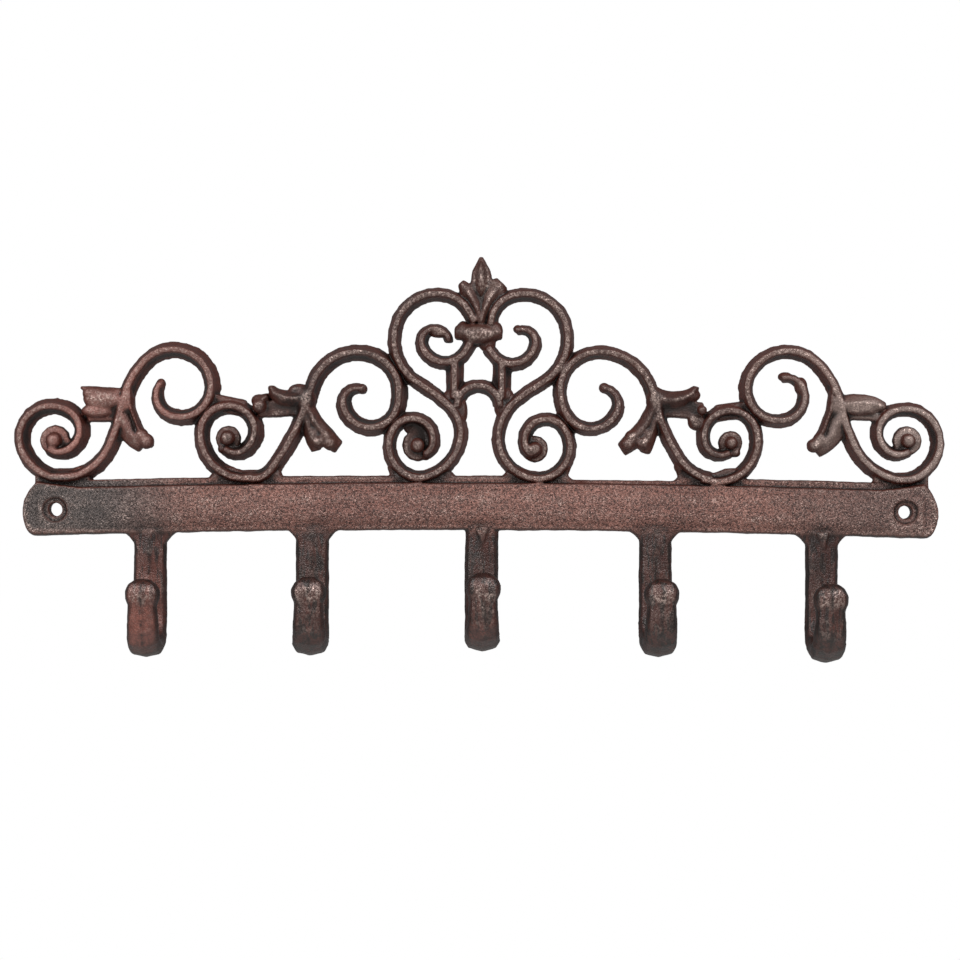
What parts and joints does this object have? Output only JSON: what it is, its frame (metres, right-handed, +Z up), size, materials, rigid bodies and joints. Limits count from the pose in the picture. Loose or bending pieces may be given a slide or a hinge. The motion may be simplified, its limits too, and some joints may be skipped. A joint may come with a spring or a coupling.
{
  "type": "wall coat rack",
  "caption": "Cast iron wall coat rack: a bowed bar with a crest of pierced scrolls above and upturned knobbed hooks below.",
  "frame": {"origin": "midway between the two screw holes, on the wall face", "axes": "+X along the bar to the viewer's right, +Z up, -Y out of the wall towards the viewer"},
  "size_m": [0.3885, 0.0363, 0.1673],
  "materials": {
    "iron": "rust-brown patina, worn to grey iron on the ridges"
  },
  "bodies": {
    "root": {"coat_rack": "iron"}
  },
  "joints": []
}
